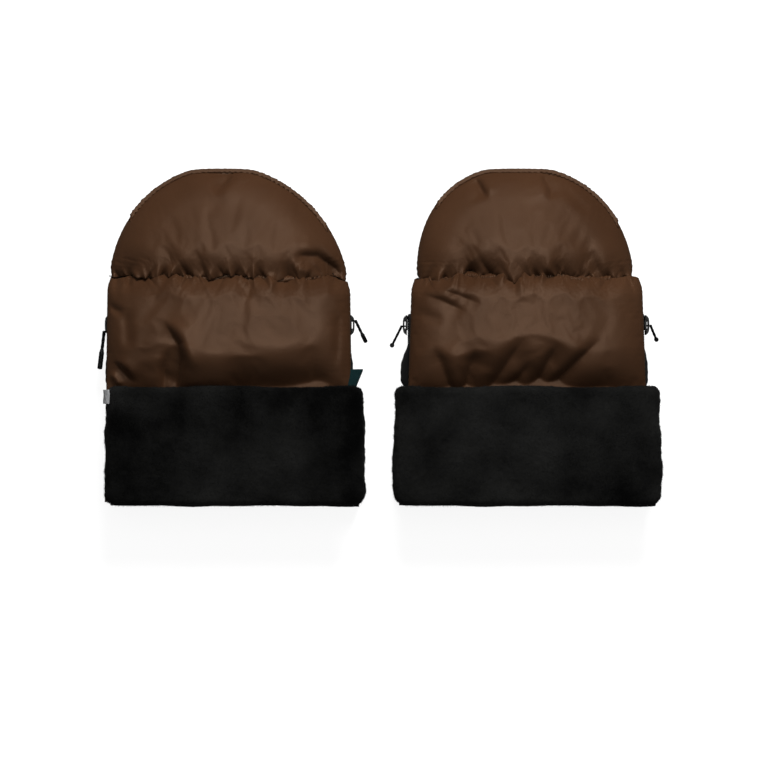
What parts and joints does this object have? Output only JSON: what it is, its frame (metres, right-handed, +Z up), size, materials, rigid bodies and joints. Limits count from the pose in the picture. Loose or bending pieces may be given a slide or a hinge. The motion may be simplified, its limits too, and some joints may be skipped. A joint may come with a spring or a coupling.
{
  "type": "hand warmer muff",
  "caption": "Quilted hand-warmer muffs for a push handle: puffed chambers, plush lining and turned-up cuffs, side zips with cord pulls.",
  "frame": {"origin": "centre of the pair's bounding box, on the surface the muffs lie on", "axes": "+X across the pair to the right, +Y from the mouths to the domes, +Z up"},
  "size_m": [0.5554, 0.328, 0.0711],
  "materials": {
    "shell_nylon": "satin nylon, dark brown",
    "padding": "polyester fibre fill",
    "plush": "short pile plush, near black",
    "seam_tape": "woven binding tape and elastic",
    "zip_tape": "woven zip tape with moulded coil, black",
    "zip_metal": "black enamelled",
    "pull_cord": "braided cord, black",
    "pull_end": "moulded, matt black",
    "side_tag": "woven, dark teal, plain",
    "care_label": "printed tape, grey, plain"
  },
  "bodies": {
    "left_muff": {"left_front_upper_shell": "shell_nylon", "left_front_upper_padding": "padding", "left_front_lower_shell": "shell_nylon", "left_front_lower_padding": "padding", "left_front_gather_elastic": "seam_tape", "left_front_lining": "plush", "left_back_upper_shell": "shell_nylon", "left_back_upper_padding": "padding", "left_back_lower_shell": "shell_nylon", "left_back_lower_padding": "padding", "left_back_gather_elastic": "seam_tape", "left_back_lining": "plush", "left_dome_binding": "seam_tape", "left_outer_zip_front_tape": "zip_tape", "left_outer_zip_back_tape": "zip_tape", "left_outer_zip_box": "zip_metal", "left_inner_zip_front_tape": "zip_tape", "left_inner_zip_back_tape": "zip_tape", "left_inner_zip_box": "zip_metal", "left_side_tag": "side_tag"},
    "right_muff": {"right_front_upper_shell": "shell_nylon", "right_front_upper_padding": "padding", "right_front_lower_shell": "shell_nylon", "right_front_lower_padding": "padding", "right_front_gather_elastic": "seam_tape", "right_front_lining": "plush", "right_back_upper_shell": "shell_nylon", "right_back_upper_padding": "padding", "right_back_lower_shell": "shell_nylon", "right_back_lower_padding": "padding", "right_back_gather_elastic": "seam_tape", "right_back_lining": "plush", "right_dome_binding": "seam_tape", "right_inner_zip_front_tape": "zip_tape", "right_inner_zip_back_tape": "zip_tape", "right_inner_zip_box": "zip_metal", "right_outer_zip_front_tape": "zip_tape", "right_outer_zip_back_tape": "zip_tape", "right_outer_zip_box": "zip_metal"},
    "left_front_cuff": {"left_front_cuff": "plush", "left_care_label": "care_label"},
    "left_back_cuff": {"left_back_cuff": "plush"},
    "left_outer_slider": {"left_outer_zip_slider": "zip_metal"},
    "left_outer_pull": {"left_outer_zip_pull_cord": "pull_cord", "left_outer_zip_pull_end": "pull_end"},
    "left_inner_slider": {"left_inner_zip_slider": "zip_metal"},
    "left_inner_pull": {"left_inner_zip_pull_cord": "pull_cord", "left_inner_zip_pull_end": "pull_end"},
    "right_front_cuff": {"right_front_cuff": "plush"},
    "right_back_cuff": {"right_back_cuff": "plush"},
    "right_inner_slider": {"right_inner_zip_slider": "zip_metal"},
    "right_inner_pull": {"right_inner_zip_pull_cord": "pull_cord", "right_inner_zip_pull_end": "pull_end"},
    "right_outer_slider": {"right_outer_zip_slider": "zip_metal"},
    "right_outer_pull": {"right_outer_zip_pull_cord": "pull_cord", "right_outer_zip_pull_end": "pull_end"}
  },
  "joints": [
    {"name": "right_muff_lift", "type": "slide", "parent": "left_muff", "child": "right_muff", "axis": [0, 0, 1], "range_m": [0, 0.15]},
    {"name": "left_front_cuff_turn", "type": "hinge", "parent": "left_muff", "child": "left_front_cuff", "pos_m": [-0.1398, -0.164, 0.054], "axis": [1, 0, 0], "range_deg": [0, 175]},
    {"name": "left_back_cuff_turn", "type": "hinge", "parent": "left_muff", "child": "left_back_cuff", "pos_m": [-0.1398, -0.164, 0.016], "axis": [1, 0, 0], "range_deg": [-175, 0]},
    {"name": "left_outer_slider_run", "type": "slide", "parent": "left_muff", "child": "left_outer_slider", "axis": [0, -1, 0], "range_m": [0, 0.125]},
    {"name": "left_outer_pull_swing", "type": "hinge", "parent": "left_outer_slider", "child": "left_outer_pull", "pos_m": [-0.2701, 0.0064, 0.035], "axis": [0, 0, -1], "range_deg": [-6, 86]},
    {"name": "left_inner_slider_run", "type": "slide", "parent": "left_muff", "child": "left_inner_slider", "axis": [0, -1, 0], "range_m": [0, 0.125]},
    {"name": "left_inner_pull_swing", "type": "hinge", "parent": "left_inner_slider", "child": "left_inner_pull", "pos_m": [-0.0227, 0.017, 0.035], "axis": [0, 0, 1], "range_deg": [-23, 34]},
    {"name": "right_front_cuff_turn", "type": "hinge", "parent": "right_muff", "child": "right_front_cuff", "pos_m": [0.1449, -0.164, 0.054], "axis": [1, 0, 0], "range_deg": [0, 175]},
    {"name": "right_back_cuff_turn", "type": "hinge", "parent": "right_muff", "child": "right_back_cuff", "pos_m": [0.1449, -0.164, 0.016], "axis": [1, 0, 0], "range_deg": [-175, 0]},
    {"name": "right_inner_slider_run", "type": "slide", "parent": "right_muff", "child": "right_inner_slider", "axis": [0, -1, 0], "range_m": [0, 0.125]},
    {"name": "right_inner_pull_swing", "type": "hinge", "parent": "right_inner_slider", "child": "right_inner_pull", "pos_m": [0.023, 0.0118, 0.035], "axis": [0, 0, -1], "range_deg": [-24, 33]},
    {"name": "right_outer_slider_run", "type": "slide", "parent": "right_muff", "child": "right_outer_slider", "axis": [0, -1, 0], "range_m": [0, 0.125]},
    {"name": "right_outer_pull_swing", "type": "hinge", "parent": "right_outer_slider", "child": "right_outer_pull", "pos_m": [0.2674, 0.0126, 0.035], "axis": [0, 0, 1], "range_deg": [-28, 64]}
  ],
  "couplings": [
    {"joint": "left_back_cuff_turn", "follows": "left_front_cuff_turn", "ratio": -1},
    {"joint": "right_back_cuff_turn", "follows": "right_front_cuff_turn", "ratio": -1}
  ]
}
